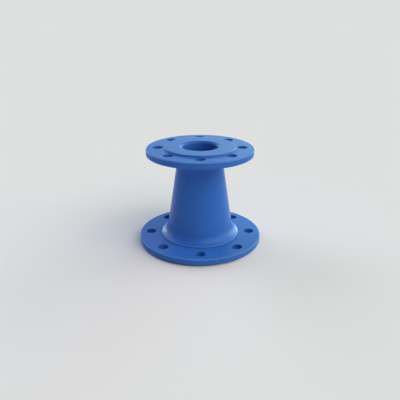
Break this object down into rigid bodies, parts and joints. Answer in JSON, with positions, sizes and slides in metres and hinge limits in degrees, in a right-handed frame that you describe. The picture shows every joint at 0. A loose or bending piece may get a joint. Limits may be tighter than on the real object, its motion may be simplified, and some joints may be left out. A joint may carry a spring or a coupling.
{
  "type": "flanged reducer",
  "caption": "Concentric pipe reducer cast in one piece: a tapered neck with a drilled round flange at each end, coated blue.",
  "frame": {"origin": "centre of the large flange's sealing face, on the bore's axis", "axes": "+Z runs along the bore from the large flange to the small flange; one pair of bolt holes lies on each of X and Y"},
  "size_m": [0.22, 0.22, 0.175],
  "materials": {
    "blue_epoxy_coating": "smooth, half-gloss fusion-bonded epoxy over ductile iron"
  },
  "bodies": {
    "root": {"reducer_casting": "blue_epoxy_coating"}
  },
  "joints": []
}
